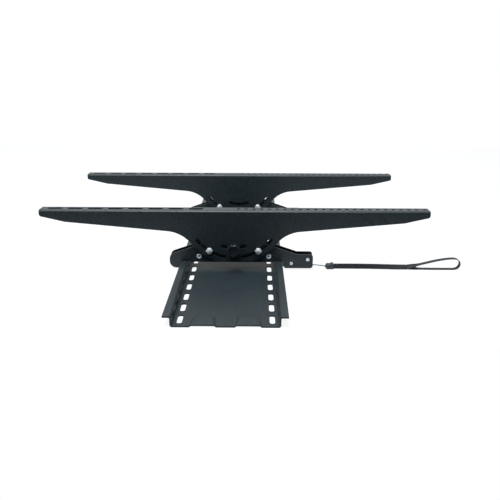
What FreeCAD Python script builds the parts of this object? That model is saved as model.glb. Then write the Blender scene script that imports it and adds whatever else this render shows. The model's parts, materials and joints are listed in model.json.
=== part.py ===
import FreeCAD, Part
import math
import os
from types import SimpleNamespace

import Sketcher

V = FreeCAD.Vector

# Tilting wall mount for a television, lying on its back: the wall plate is down, the arms face up.
# X runs along the arms (the lock end is +X, the hook end that hangs uppermost is -X), Y runs along
# the wall plate, Z points from the wall towards the television. x = 0 is the tilt axis, y = 0 the
# plate's middle, z = 0 the wall.

SIZES = {
    # Wall plate: one folded sheet with two rails
    "plate_length": 764,
    "plate_width": 169,
    "plate_shift": -4,
    "plate_sheet": 2.3,
    "plate_bend": 1.5,
    "rail_height": 16,
    "flange_width": 10,
    "row_spacing": 126,
    "wall_slot_length": 27,
    "wall_slot_width": 7.4,
    "wall_slot_pitch": 40,
    "wall_slot_count": 19,
    "emboss_spacing": 61,
    "emboss_width": 38,
    "emboss_back": 29,
    "emboss_round": 8,
    "emboss_slope": 3,
    "emboss_length": 38,
    "emboss_height": 2,
    # Television arms: U channels with a round belly that tilts
    "arm_spacing": 300,
    "arm_length": 638,
    "arm_shift": 1,
    "arm_width": 26,
    "arm_sheet": 2.2,
    "arm_bend": 1.8,
    "face_height": 103.3,
    "end_depth": 10.3,
    "end_round": 4,
    "shoulder_reach": 277.7,
    "shoulder_depth": 19.8,
    "keel_depth": 44.7,
    "belly_radius": 88,
    "belly_depth": 84.6,
    "belly_fillet": 56,
    "face_slot_length": 25,
    "face_slot_width": 8.5,
    "face_slot_pitch": 33.2,
    "face_slot_count": 8,
    "face_slot_margin": 11,
    "face_hole_diameter": 6.4,
    "face_hole_pitch": 12.7,
    "face_hole_count": 25,
    "face_hole_margin": 7.5,
    # Tilt: arc slots about an axis just under the face
    "pivot_depth": 3.3,
    "tilt_range": 15,
    "tilt_spare": 3,
    "side_slot_spare": 5.5,
    "tilt_radius": 76.5,
    "tilt_angle": 32,
    "knob_radius": 59.5,
    "bolt_diameter": 6,
    "slot_clearance": 0.5,
    "bolt_head_flats": 10,
    "bolt_head_height": 4,
    "nut_height": 5,
    "washer_thickness": 1.2,
    "washer_diameter": 14,
    "sleeve_diameter": 10,
    "running_gap": 0.1,
    # Hook bracket: two side plates inside the arm; the hook reaches back from the upper flange's edge,
    # the lock block on from the lower flange's edge
    "hook_sheet": 2.5,
    "hook_back": 19,
    "hook_round": 12,
    "hook_foot": 3.8,
    "hook_lip": 8.5,
    "hook_slope_back": 27,
    "crown_height": 58,
    "crown_reach": 18,
    "block_reach": 51.5,
    "block_top": 27.8,
    "block_shoulder": 25,
    "block_gap": 2.5,
    "block_round": 4.5,
    "rail_clearance": 0.3,
    "trough_drop": 2,
    "trough_clearance": 1.7,
    "rivet_reach": 58,
    "rivet_height": 24.2,
    "rivet_diameter": 9,
    "rivet_bore": 3,
    "rivet_shank": 6.2,
    "rivet_head": 1,
    # Spring lock that grips the lower flange; its ends and pins are measured from the flange's edge
    "lock_travel": 8,
    "nose_engagement": 7,
    "nose_bottom": 6,
    "nose_bevel": 3.5,
    "latch_top": 18,
    "latch_end": 23.5,
    "latch_clearance": 0.3,
    "guide_pin_reach": 15.4,
    "guide_pin_height": 12,
    "guide_pin_diameter": 5.4,
    "seat_pin_reach": 42.8,
    "seat_pin_height": 19,
    "seat_pin_diameter": 6,
    "pin_stand": 0.8,
    "seat_face": 38.5,
    "seat_length": 9,
    "seat_height": 19,
    "pull_height": 8,
    "spring_diameter": 6.4,
    "spring_wire": 0.8,
    "spring_turns": 6,
    "pull_wire": 1.5,
    "wire_clearance": 0.5,
    # Tilt knob
    "knob_diameter": 21.5,
    "knob_length": 20,
    "knob_boss": 14,
    "knob_boss_length": 5,
    "knob_lobes": 8,
    "knob_flute": 6,
    "knob_flute_depth": 1.6,
    "stud_depth": 12,
    # Pull strap
    "clamp_length": 14,
    "clamp_width": 11,
    "clamp_height": 9,
    "clamp_round": 2,
    "clamp_bump": 3.2,
    "strap_width": 9,
    "strap_sheet": 1.1,
}

# The pull wire's route in the bracket's middle plane, as (x, z)
WIRE_ROUTE = [(104, 8), (133, 8), (154, 4.6)]
# The doubled strap's route, then the loop's, in the same plane
STRAP_ROUTE = [(166, 4.6), (208, 4.8), (250, 4.2), (290, 2.2)]
LOOP_ROUTE = [
    (290, 1.4), (315, 0.8), (340, 0.6), (360, 0.7), (374.5, 0.6), (380.5, 6.4),
    (380.5, 14), (374.5, 19.5), (361, 19.3), (343, 16.4), (318, 10), (290, 2.9),
]


class Size:
    """A size as a number and as the sheet expression that gives it."""

    def __init__(self, value, text):
        self.value = value
        self.text = text

    def __add__(self, other):
        other = as_size(other)
        return Size(self.value + other.value, f"({self.text} + {other.text})")

    def __sub__(self, other):
        other = as_size(other)
        return Size(self.value - other.value, f"({self.text} - {other.text})")

    def __mul__(self, other):
        other = as_size(other)
        return Size(self.value * other.value, f"({self.text} * {other.text})")

    def __truediv__(self, other):
        other = as_size(other)
        return Size(self.value / other.value, f"({self.text} / {other.text})")

    def __neg__(self):
        return Size(-self.value, f"(-1 * {self.text})")

    def __radd__(self, other):
        return as_size(other) + self

    def __rsub__(self, other):
        return as_size(other) - self

    def __rmul__(self, other):
        return as_size(other) * self


def as_size(number):
    return number if isinstance(number, Size) else Size(number, repr(number))


def sin(angle):
    return Size(math.sin(math.radians(angle.value)), f"sin({angle.text})")


def cos(angle):
    return Size(math.cos(math.radians(angle.value)), f"cos({angle.text})")


def atan(ratio):
    return Size(math.degrees(math.atan(ratio.value)), f"atan({ratio.text})")


doc = FreeCAD.newDocument("tv_mount")
sheet = doc.addObject("Spreadsheet::Sheet", "Sizes")
for row, (alias, number) in enumerate(SIZES.items(), start=1):
    sheet.set(f"A{row}", alias)
    sheet.set(f"B{row}", str(number))
    sheet.setAlias(f"B{row}", alias)
doc.recompute()
s = SimpleNamespace(**{alias: Size(float(sheet.get(alias)), f"Sizes.{alias}") for alias in SIZES})

# Places that several pieces share
channel = s.arm_width - 2 * s.arm_sheet
bracket_width = channel - 2 * (s.washer_thickness + s.running_gap)
inner_width = bracket_width - 2 * s.hook_sheet
flange_left = s.plate_shift - s.plate_width / 2
flange_right = s.plate_shift + s.plate_width / 2
flange_under = s.rail_height - s.plate_sheet
bracket_rest = s.rail_height + s.rail_clearance
trough_left = flange_left + s.flange_width + s.plate_sheet + s.trough_clearance
trough_right = flange_right - s.flange_width - s.plate_sheet - s.trough_clearance
slot_width = s.bolt_diameter + s.slot_clearance
bolt_reach = s.tilt_radius * sin(s.tilt_angle)
pivot_height = s.face_height - s.pivot_depth
bolt_height = pivot_height - s.tilt_radius * cos(s.tilt_angle)
knob_height = pivot_height - s.knob_radius
hook_left = flange_left - s.hook_back
block_left = flange_right + s.block_gap
block_right = flange_right + s.block_reach
shoulder_x = flange_right + s.block_shoulder
nose_tip = flange_right - s.nose_engagement
latch_back = flange_right + s.latch_end
guide_pin_x = flange_right + s.guide_pin_reach
seat_pin_x = flange_right + s.seat_pin_reach
seat_left = flange_right + s.seat_face
latch_width = inner_width - 2 * s.latch_clearance


# Document helpers

def bind(item, name, size):
    item.setExpression(name, as_size(size).text)


def place(item, x=0, y=0, z=0):
    """Puts a sub-part at x, y, z by expressions."""
    for axis, size in (("x", x), ("y", y), ("z", z)):
        bind(item, f"Placement.Base.{axis}", size)


def new_body(label):
    body = doc.addObject("PartDesign::Body", label)
    body.Label = label
    return body


def new_sketch(body, name, role, lift=0):
    """A sketch on one of the body's own planes, raised along the plane's normal."""
    support = next(f for f in body.Origin.OriginFeatures if f.Role == role)
    sketch = body.newObject("Sketcher::SketchObject", name)
    sketch.AttachmentSupport = [(support, "")]
    sketch.MapMode = "FlatFace"
    bind(sketch, "AttachmentOffset.Base.z", lift)
    return sketch


def dimension(sketch, *terms):
    """Adds a dimension whose last term is a Size, and binds it to the sheet."""
    *where, size = terms
    size = as_size(size)
    index = sketch.addConstraint(Sketcher.Constraint(*where, size.value))
    sketch.setExpression(f"Constraints[{index}]", size.text)


def pin_point(sketch, geometry, point, x, y):
    """Fixes one point of a sketch at x, y from its origin."""
    dimension(sketch, "DistanceX", -1, 1, geometry, point, x)
    dimension(sketch, "DistanceY", -1, 1, geometry, point, y)


def join(sketch, kind, *ends):
    sketch.addConstraint(Sketcher.Constraint(kind, *ends))


def arc_between(centre, radius, start, end):
    """A counter-clockwise arc from the angle start to the angle end, in radians."""
    return Part.ArcOfCircle(Part.Circle(centre, V(0, 0, 1), radius), start, end)


def outline(sketch, corners):
    """Closes a ring of straight edges through corners (x, y, round), with tangent arcs where round isn't 0."""
    count = len(corners)
    sharp = [V(as_size(x).value, as_size(y).value, 0) for x, y, _ in corners]
    rounds = [as_size(r) for _, _, r in corners]
    enter, leave, centres = [], [], []
    for i, point in enumerate(sharp):
        back = (sharp[i - 1] - point).normalize()
        ahead = (sharp[(i + 1) % count] - point).normalize()
        half = back.getAngle(ahead) / 2
        reach = rounds[i].value / math.tan(half)
        enter.append(point + back * reach)
        leave.append(point + ahead * reach)
        centres.append(point + (back + ahead).normalize() * (rounds[i].value / math.sin(half)))
    edges = [sketch.addGeometry(Part.LineSegment(leave[i], enter[(i + 1) % count])) for i in range(count)]
    for i, (x, y, _) in enumerate(corners):
        before, after = edges[i - 1], edges[i]
        if rounds[i].value == 0:
            join(sketch, "Coincident", before, 2, after, 1)
            pin_point(sketch, after, 1, x, y)
            continue
        turn = (sharp[i] - sharp[i - 1]).cross(sharp[(i + 1) % count] - sharp[i]).z
        first, last = (enter[i], leave[i]) if turn > 0 else (leave[i], enter[i])
        angles = [math.atan2(p.y - centres[i].y, p.x - centres[i].x) for p in (first, last)]
        arc = sketch.addGeometry(arc_between(centres[i], rounds[i].value, *angles))
        near, far = (1, 2) if turn > 0 else (2, 1)
        join(sketch, "Tangent", before, 2, arc, near)
        join(sketch, "Tangent", arc, far, after, 1)
        dimension(sketch, "Radius", arc, rounds[i])
        corner = sketch.addGeometry(Part.Point(sharp[i]), True)
        join(sketch, "PointOnObject", corner, 1, before)
        join(sketch, "PointOnObject", corner, 1, after)
        pin_point(sketch, corner, 1, x, y)


def hole(sketch, x, y, diameter):
    """A round hole of a sketch."""
    centre = V(as_size(x).value, as_size(y).value, 0)
    ring = sketch.addGeometry(Part.Circle(centre, V(0, 0, 1), diameter.value / 2))
    pin_point(sketch, ring, 3, x, y)
    dimension(sketch, "Radius", ring, diameter / 2)


def long_hole(sketch, first, second, width):
    """A slot with round ends about the two points."""
    a, b = (V(as_size(x).value, as_size(y).value, 0) for x, y in (first, second))
    heading = math.atan2(b.y - a.y, b.x - a.x)
    quarter, half = math.pi / 2, width.value / 2
    side = V(-math.sin(heading), math.cos(heading), 0) * half
    end_b = sketch.addGeometry(arc_between(b, half, heading - quarter, heading + quarter))
    end_a = sketch.addGeometry(arc_between(a, half, heading + quarter, heading + 3 * quarter))
    top = sketch.addGeometry(Part.LineSegment(b + side, a + side))
    bottom = sketch.addGeometry(Part.LineSegment(a - side, b - side))
    join(sketch, "Tangent", end_b, 2, top, 1)
    join(sketch, "Tangent", top, 2, end_a, 1)
    join(sketch, "Tangent", end_a, 2, bottom, 1)
    join(sketch, "Tangent", bottom, 2, end_b, 1)
    pin_point(sketch, end_a, 3, *first)
    pin_point(sketch, end_b, 3, *second)
    dimension(sketch, "Radius", end_a, width / 2)
    dimension(sketch, "Radius", end_b, width / 2)


def arc_hole(sketch, radius, width, start, end):
    """A slot along an arc about the sketch's origin; angles are degrees from straight down, towards +X."""
    middle, half = radius.value, width.value / 2
    low, high = (math.radians(angle.value) - math.pi / 2 for angle in (start, end))
    origin = V(0, 0, 0)
    low_centre, high_centre = (V(middle * math.cos(a), middle * math.sin(a), 0) for a in (low, high))
    outer = sketch.addGeometry(arc_between(origin, middle + half, low, high))
    inner = sketch.addGeometry(arc_between(origin, middle - half, low, high))
    high_end = sketch.addGeometry(arc_between(high_centre, half, high, high + math.pi))
    low_end = sketch.addGeometry(arc_between(low_centre, half, low + math.pi, low + 2 * math.pi))
    for arc in (outer, inner):
        join(sketch, "Coincident", arc, 3, -1, 1)
    join(sketch, "Tangent", outer, 2, high_end, 1)
    join(sketch, "Tangent", high_end, 2, inner, 2)
    join(sketch, "Tangent", inner, 1, low_end, 1)
    join(sketch, "Tangent", low_end, 2, outer, 1)
    dimension(sketch, "Radius", outer, radius + width / 2)
    dimension(sketch, "Radius", inner, radius - width / 2)
    dimension(sketch, "DistanceX", -1, 1, high_end, 3, radius * sin(end))
    dimension(sketch, "DistanceX", -1, 1, low_end, 3, radius * sin(start))


def half_disc(sketch, radius):
    """The lower half of a disc about the sketch's origin."""
    r = radius.value
    arc = sketch.addGeometry(arc_between(V(0, 0, 0), r, math.pi, 2 * math.pi))
    line = sketch.addGeometry(Part.LineSegment(V(r, 0, 0), V(-r, 0, 0)))
    join(sketch, "Coincident", arc, 3, -1, 1)
    join(sketch, "Coincident", arc, 2, line, 1)
    join(sketch, "Coincident", line, 2, arc, 1)
    join(sketch, "PointOnObject", arc, 1, -1)
    join(sketch, "PointOnObject", arc, 2, -1)
    dimension(sketch, "Radius", arc, radius)


def pad(body, sketch, length, side="Symmetric", flip=False):
    feature = body.newObject("PartDesign::Pad", f"{sketch.Name}_pad")
    feature.Profile = sketch
    feature.SideType = side
    feature.Reversed = flip
    bind(feature, "Length", length)
    doc.recompute()
    return feature


def cut(body, sketch, depth=None, side="Symmetric", flip=False):
    """Cuts a sketch through everything, or to a depth, and makes sure that it took something away."""
    before = body.Shape.Volume
    feature = body.newObject("PartDesign::Pocket", f"{sketch.Name}_cut")
    feature.Profile = sketch
    feature.SideType = side
    feature.Reversed = flip
    if depth is None:
        feature.Type = "ThroughAll"
    else:
        bind(feature, "Length", depth)
    doc.recompute()
    if not body.Shape.Volume < before:
        raise RuntimeError(f"{feature.Name} cuts nothing")
    return feature


def repeat(body, feature, sketch, axis, pitch, count):
    """Repeats a feature along an axis of its sketch."""
    pattern = body.newObject("PartDesign::LinearPattern", f"{feature.Name}_row")
    pattern.Originals = [feature]
    pattern.Direction = (sketch, [axis])
    bind(pattern, "Length", pitch * (count - 1))
    bind(pattern, "Occurrences", count)
    body.Tip = pattern
    doc.recompute()
    return pattern


def edges_of(shape, wanted):
    """The names of a shape's edges that wanted accepts."""
    return [f"Edge{i}" for i, edge in enumerate(shape.Edges, start=1) if wanted(edge)]


def runs_along(edge, axis):
    """Whether an edge is straight and runs along an axis."""
    if edge.Curve.TypeId != "Part::GeomLine":
        return False
    return abs(abs(edge.tangentAt(edge.FirstParameter).dot(axis)) - 1) < 1e-6


def dress(body, kind, wanted, size, property_name):
    """Rounds or bevels the edges of a body's tip that wanted accepts."""
    base = body.Tip
    names = edges_of(base.Shape, wanted)
    if not names:
        raise RuntimeError(f"{body.Label} has no edge to {kind}")
    feature = body.newObject(f"PartDesign::{kind}", f"{body.Name}_{kind}")
    feature.Base = (base, names)
    bind(feature, property_name, size)
    doc.recompute()
    return feature


def round_edges(body, wanted, radius):
    return dress(body, "Fillet", wanted, radius, "Radius")


def bevel_edges(body, wanted, size):
    return dress(body, "Chamfer", wanted, size, "Size")


def near(a, b):
    return abs(a - as_size(b).value) < 1e-4


def cylinder(name, diameter, length, x=0, y=0, z=0):
    """A cylinder along +Y that starts at x, y, z."""
    item = doc.addObject("Part::Cylinder", name)
    item.Placement.Rotation = FreeCAD.Rotation(V(1, 0, 0), -90)
    bind(item, "Radius", diameter / 2)
    bind(item, "Height", length)
    place(item, x, y, z)
    return item


def hexagon(name, flats, length, x=0, y=0, z=0):
    """A hexagonal prism along +Y that starts at x, y, z."""
    item = doc.addObject("Part::Prism", name)
    item.Polygon = 6
    item.Placement.Rotation = FreeCAD.Rotation(V(1, 0, 0), -90)
    bind(item, "Circumradius", flats / 2 / cos(Size(30, "30")))
    bind(item, "Height", length)
    place(item, x, y, z)
    return item


def subtract(name, base, tool):
    item = doc.addObject("Part::Cut", name)
    item.Base = base
    item.Tool = tool
    return item


def unite(name, *pieces):
    item = doc.addObject("Part::MultiFuse", name)
    item.Shapes = list(pieces)
    return item


def group(label, pieces):
    """Separate solids that share one node."""
    item = doc.addObject("Part::Compound", label)
    item.Label = label
    item.Links = list(pieces)
    return item


def tube(name, diameter, bore, length, x=0, y=0, z=0):
    """A ring along +Y that starts at x, y, z."""
    outside = cylinder(f"{name}_outside", diameter, length, x, y, z)
    inside = cylinder(f"{name}_inside", bore, length, x, y, z)
    return subtract(name, outside, inside)


# Wall plate

def wall_plate():
    body = new_body("wall_plate")
    sheet_t, bend = s.plate_sheet, s.plate_bend
    outer_bend = bend + sheet_t
    edge = s.plate_width / 2
    web = edge - s.flange_width
    profile = new_sketch(body, "plate_section", "XZ_Plane")
    half = [
        (web, 0, outer_bend),
        (web, flange_under, bend),
        (edge, flange_under, 0),
        (edge, s.rail_height, 0),
        (web - sheet_t, s.rail_height, outer_bend),
        (web - sheet_t, sheet_t, bend),
    ]
    other_half = [(-x, z, r) for x, z, r in reversed(half)]
    outline(profile, half + other_half)
    pad(body, profile, s.plate_length)
    end = s.plate_length / 2
    past = end + 2 * s.emboss_slope
    slant = -atan(s.emboss_slope / s.emboss_height)
    for number, (middle, sign) in enumerate([(-1, -1), (1, -1), (-1, 1), (1, 1)]):
        centre = s.emboss_spacing / 2 * middle
        front, back = s.emboss_width / 2, s.emboss_back / 2
        corners = [
            (centre - front, past * sign, 0),
            (centre + front, past * sign, 0),
            (centre + back, (end - s.emboss_length) * sign, s.emboss_round),
            (centre - back, (end - s.emboss_length) * sign, s.emboss_round),
        ]
        raised = new_sketch(body, f"emboss_{number}", "XY_Plane", sheet_t)
        outline(raised, corners)
        bind(pad(body, raised, s.emboss_height, "One side"), "TaperAngle", slant)
        hollow = new_sketch(body, f"emboss_hollow_{number}", "XY_Plane")
        outline(hollow, corners)
        bind(cut(body, hollow, s.emboss_height, "One side", True), "TaperAngle", slant)
    for sign in (-1, 1):
        trim = new_sketch(body, f"plate_trim_{0 if sign < 0 else 1}", "XY_Plane")
        near_y, far_y = end * sign, past * sign
        outline(trim, [(-edge, near_y, 0), (edge, near_y, 0), (edge, far_y, 0), (-edge, far_y, 0)])
        cut(body, trim)
    slots = new_sketch(body, "wall_slots", "XY_Plane")
    first = -(s.wall_slot_pitch * (s.wall_slot_count - 1)) / 2
    reach = (s.wall_slot_length - s.wall_slot_width) / 2
    for side in (-1, 1):
        row = s.row_spacing / 2 * side
        long_hole(slots, (row, first - reach), (row, first + reach), s.wall_slot_width)
    holes = cut(body, slots)
    repeat(body, holes, slots, "V_Axis", s.wall_slot_pitch, s.wall_slot_count)
    place(body, x=s.plate_shift)
    return body


# Television arm

def arm(label, y):
    body = new_body(label)
    face = s.pivot_depth
    left = s.arm_shift - s.arm_length / 2
    right = s.arm_shift + s.arm_length / 2
    side = new_sketch(body, f"{label}_side", "XZ_Plane")
    outline(side, [
        (s.arm_shift + s.shoulder_reach, face - s.shoulder_depth, 0),
        (right, face - s.end_depth, s.end_round),
        (right, face, 0),
        (left, face, 0),
        (left, face - s.end_depth, s.end_round),
        (s.arm_shift - s.shoulder_reach, face - s.shoulder_depth, 0),
        (s.arm_shift, face - s.keel_depth, 0),
    ])
    pad(body, side, s.arm_width)
    belly = new_sketch(body, f"{label}_belly", "XZ_Plane")
    half_disc(belly, s.belly_radius)
    pad(body, belly, s.arm_width)
    round_edges(
        body,
        lambda e: runs_along(e, V(0, 1, 0))
        and near(math.hypot(e.CenterOfMass.x, e.CenterOfMass.z), s.belly_radius)
        and e.CenterOfMass.z < -s.end_depth.value,
        s.belly_fillet,
    )
    deep = s.belly_radius + s.arm_sheet
    flat = new_sketch(body, f"{label}_belly_flat", "XZ_Plane")
    outline(flat, [
        (-s.belly_radius, -deep, 0),
        (s.belly_radius, -deep, 0),
        (s.belly_radius, -s.belly_depth, 0),
        (-s.belly_radius, -s.belly_depth, 0),
    ])
    cut(body, flat)
    inside = new_sketch(body, f"{label}_channel", "YZ_Plane")
    outline(inside, [
        (-channel / 2, -deep, 0),
        (channel / 2, -deep, 0),
        (channel / 2, face - s.arm_sheet, s.arm_bend),
        (-channel / 2, face - s.arm_sheet, s.arm_bend),
    ])
    cut(body, inside)
    round_edges(
        body,
        lambda e: runs_along(e, V(1, 0, 0)) and near(e.CenterOfMass.z, face) and near(e.Length, s.arm_length),
        s.arm_bend + s.arm_sheet,
    )
    tilt = new_sketch(body, f"{label}_tilt_slots", "XZ_Plane")
    swing = s.tilt_range + s.side_slot_spare
    knob_swing = s.tilt_range + s.tilt_spare
    arc_hole(tilt, s.tilt_radius, slot_width, s.tilt_angle - swing, s.tilt_angle + swing)
    arc_hole(tilt, s.tilt_radius, slot_width, -s.tilt_angle - swing, swing - s.tilt_angle)
    arc_hole(tilt, s.knob_radius, slot_width, -knob_swing, knob_swing)
    cut(body, tilt)
    reach = (s.face_slot_length - s.face_slot_width) / 2
    first = left + s.face_slot_margin + s.face_slot_length / 2
    slots = new_sketch(body, f"{label}_face_slots", "XY_Plane", face)
    long_hole(slots, (first - reach, 0), (first + reach, 0), s.face_slot_width)
    long_holes = cut(body, slots, s.arm_sheet * 2)
    repeat(body, long_holes, slots, "H_Axis", s.face_slot_pitch, s.face_slot_count)
    rounds = new_sketch(body, f"{label}_face_holes", "XY_Plane", face)
    first_round = right - s.face_hole_margin - s.face_hole_pitch * (s.face_hole_count - 1)
    hole(rounds, first_round, 0, s.face_hole_diameter)
    round_holes = cut(body, rounds, s.arm_sheet * 2)
    repeat(body, round_holes, rounds, "H_Axis", s.face_hole_pitch, s.face_hole_count)
    place(body, y=y, z=pivot_height)
    return body


# Hook bracket

def hook_plate(label, y):
    """One side plate: it hooks round the upper flange, rests on both and drops a little between the rails."""
    body = new_body(label)
    left_stop = flange_left - s.rail_clearance
    lip_top = flange_under - s.rail_clearance
    lip_end = flange_left + s.hook_lip
    profile = new_sketch(body, f"{label}_profile", "XZ_Plane")
    outline(profile, [
        (hook_left, s.hook_foot, s.hook_round - 1),
        (lip_end, s.hook_foot, s.block_round - 2),
        (lip_end, lip_top, 1),
        (left_stop, lip_top, 0.5),
        (left_stop, bracket_rest, 0.5),
        (trough_left, bracket_rest, 0),
        (trough_left, bracket_rest - s.trough_drop, 1),
        (trough_right, bracket_rest - s.trough_drop, 1),
        (trough_right, bracket_rest, 0),
        (block_left, bracket_rest, 1),
        (block_left, s.hook_foot, s.block_round),
        (block_right, s.hook_foot, s.block_round),
        (block_right, s.block_top, s.block_round),
        (shoulder_x, s.block_top, s.block_round),
        (s.crown_reach, s.crown_height, s.hook_round),
        (-s.crown_reach, s.crown_height, s.hook_round),
        (hook_left, s.hook_slope_back, s.hook_round - 3),
    ])
    pad(body, profile, s.hook_sheet)
    holes = new_sketch(body, f"{label}_holes", "XZ_Plane")
    for side in (-1, 1):
        hole(holes, bolt_reach * side, bolt_height, s.bolt_diameter)
        hole(holes, s.rivet_reach * side, s.rivet_height, s.rivet_shank)
    hole(holes, 0, knob_height, s.bolt_diameter)
    hole(holes, guide_pin_x, s.guide_pin_height, s.guide_pin_diameter)
    hole(holes, seat_pin_x, s.seat_pin_height, s.seat_pin_diameter)
    cut(body, holes)
    place(body, y=y)
    return body


def spacer_rivets(side, y):
    """Two hollow rivets, each a spacer between the plates with a flared head outside."""
    rivets = []
    for number, sign in enumerate((-1, 1)):
        where = {"x": s.rivet_reach * sign, "z": s.rivet_height}
        name = f"{side}_rivet_{number}"
        long = bracket_width + 2 * s.rivet_head
        shank = cylinder(f"{name}_shank", s.rivet_shank, long, y=y - long / 2, **where)
        waist = cylinder(f"{name}_waist", s.rivet_diameter, inner_width, y=y - inner_width / 2, **where)
        front = cylinder(f"{name}_front", s.rivet_diameter, s.rivet_head, y=y - long / 2, **where)
        back = cylinder(f"{name}_back", s.rivet_diameter, s.rivet_head, y=y + bracket_width / 2, **where)
        bore = cylinder(f"{name}_bore", s.rivet_bore, long, y=y - long / 2, **where)
        rivets.append(subtract(name, unite(f"{name}_solid", shank, waist, front, back), bore))
    return group(f"{side}_spacer_rivets", rivets)


def bolt_sleeves(side, y):
    sleeves = []
    for number, sign in enumerate((-1, 1)):
        sleeves.append(tube(
            f"{side}_sleeve_{number}", s.sleeve_diameter, s.bolt_diameter, inner_width,
            bolt_reach * sign, y - inner_width / 2, bolt_height,
        ))
    return group(f"{side}_bolt_sleeves", sleeves)


def tilt_bolts(side, y, outward):
    """Two hexagon bolts through both webs, with their heads on the arm's outer side."""
    grip = s.arm_width + 2 * s.running_gap
    tail = s.nut_height + 1
    bolts = []
    for number, sign in enumerate((-1, 1)):
        name = f"{side}_bolt_{number}"
        where = {"x": bolt_reach * sign, "z": bolt_height}
        if outward < 0:
            head_y, shank_y = y - grip / 2 - s.bolt_head_height, y - grip / 2
        else:
            head_y, shank_y = y + grip / 2, y - grip / 2 - tail
        head = hexagon(f"{name}_head", s.bolt_head_flats, s.bolt_head_height, y=head_y, **where)
        shank = cylinder(f"{name}_shank", s.bolt_diameter, grip + tail, y=shank_y, **where)
        bolts.append(unite(name, head, shank))
    return group(f"{side}_tilt_bolts", bolts)


def tilt_nuts(side, y, outward):
    grip = s.arm_width + 2 * s.running_gap
    nut_y = y + grip / 2 if outward < 0 else y - grip / 2 - s.nut_height
    nuts = []
    for number, sign in enumerate((-1, 1)):
        name = f"{side}_nut_{number}"
        where = {"x": bolt_reach * sign, "y": nut_y, "z": bolt_height}
        body = hexagon(f"{name}_body", s.bolt_head_flats, s.nut_height, **where)
        bore = cylinder(f"{name}_bore", s.bolt_diameter, s.nut_height, **where)
        nuts.append(subtract(name, body, bore))
    return group(f"{side}_tilt_nuts", nuts)


def friction_washers(side, y, outward):
    """Washers between the bracket and the arm's webs, at each bolt and under the knob."""
    inner_y = y + bracket_width / 2
    outer_y = y - bracket_width / 2 - s.washer_thickness
    knob_y = outer_y if outward < 0 else inner_y
    spots = [(bolt_reach * sign, bolt_height, wy) for sign in (-1, 1) for wy in (outer_y, inner_y)]
    spots.append((0, knob_height, knob_y))
    washers = [
        tube(f"{side}_washer_{i}", s.washer_diameter, s.bolt_diameter, s.washer_thickness, x, wy, z)
        for i, (x, z, wy) in enumerate(spots)
    ]
    return group(f"{side}_friction_washers", washers)


# Tilt knob and its stud

def stud_length():
    return s.hook_sheet + s.washer_thickness + 2 * s.running_gap + s.arm_sheet + s.stud_depth


def knob_bolt(side, y, outward):
    """A bolt whose head sits inside the bracket and whose shank comes out through the arm's slot."""
    label = f"{side}_knob_bolt"
    inside = inner_width / 2
    if outward < 0:
        head_y, shank_y = y - inside, y - inside - stud_length()
    else:
        head_y, shank_y = y + inside - s.bolt_head_height, y + inside
    head = hexagon(f"{label}_head", s.bolt_head_flats, s.bolt_head_height, y=head_y, z=knob_height)
    shank = cylinder(f"{label}_shank", s.bolt_diameter, stud_length(), y=shank_y, z=knob_height)
    item = unite(label, head, shank)
    item.Label = label
    return item


def tilt_knob(side, y, outward):
    """A fluted hand knob on a narrow boss, turned about Y."""
    label = f"{side}_tilt_knob"
    body = new_body(label)
    foot = s.arm_width / 2 + s.running_gap
    lip = s.knob_diameter / 2
    section = new_sketch(body, f"{label}_section", "YZ_Plane")
    outline(section, [
        (0, 0, 0),
        (s.knob_length, 0, 0),
        (s.knob_length, lip, 2),
        (s.knob_boss_length, lip, 1),
        (s.knob_boss_length, s.knob_boss / 2, 0),
        (0, s.knob_boss / 2, 0),
    ])
    spin = body.newObject("PartDesign::Revolution", f"{label}_turn")
    spin.Profile = section
    spin.ReferenceAxis = (section, ["H_Axis"])
    spin.Angle = 360
    doc.recompute()
    flute = new_sketch(body, f"{label}_flute", "XZ_Plane")
    hole(flute, 0, lip + s.knob_flute / 2 - s.knob_flute_depth, s.knob_flute)
    groove = cut(body, flute)
    ring = body.newObject("PartDesign::PolarPattern", f"{label}_flutes")
    ring.Originals = [groove]
    ring.Axis = (flute, ["N_Axis"])
    ring.Angle = 360
    bind(ring, "Occurrences", s.knob_lobes)
    body.Tip = ring
    doc.recompute()
    socket = new_sketch(body, f"{label}_socket", "XZ_Plane")
    hole(socket, 0, 0, s.bolt_diameter + s.running_gap)
    cut(body, socket, s.stud_depth + s.running_gap, "One side")
    turn = FreeCAD.Rotation(V(0, 0, 1), 180) if outward < 0 else FreeCAD.Rotation()
    body.Placement.Rotation = turn
    place(body, y=y + foot * outward, z=knob_height)
    return body


# Spring lock

def latch(side, y):
    """The sliding bolt whose bevelled nose reaches under the lower flange."""
    label = f"{side}_latch"
    body = new_body(label)
    nose_top = flange_under - s.rail_clearance
    step = flange_right + 3 * s.rail_clearance
    profile = new_sketch(body, f"{label}_profile", "XZ_Plane")
    outline(profile, [
        (nose_tip, s.nose_bottom + s.nose_bevel, 0),
        (nose_tip + s.nose_bevel, s.nose_bottom, 0),
        (latch_back, s.nose_bottom, 0),
        (latch_back, s.latch_top, 1),
        (step, s.latch_top, 1),
        (step, nose_top, 0),
        (nose_tip, nose_top, 0),
    ])
    pad(body, profile, latch_width)
    guide = new_sketch(body, f"{label}_guide", "XZ_Plane")
    wide = s.guide_pin_diameter + 2 * s.latch_clearance
    left = guide_pin_x - s.lock_travel
    long_hole(guide, (left, s.guide_pin_height), (guide_pin_x, s.guide_pin_height), wide)
    cut(body, guide)
    eye = new_sketch(body, f"{label}_wire_eye", "YZ_Plane", latch_back)
    hole(eye, 0, s.pull_height, s.pull_wire)
    cut(body, eye, s.pull_wire * 2, "One side")
    place(body, y=y)
    return body


def pin(label, y, diameter, x, z):
    long = bracket_width + 2 * s.pin_stand
    item = cylinder(label, diameter, long, x, y - long / 2, z)
    item.Label = label
    return item


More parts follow.
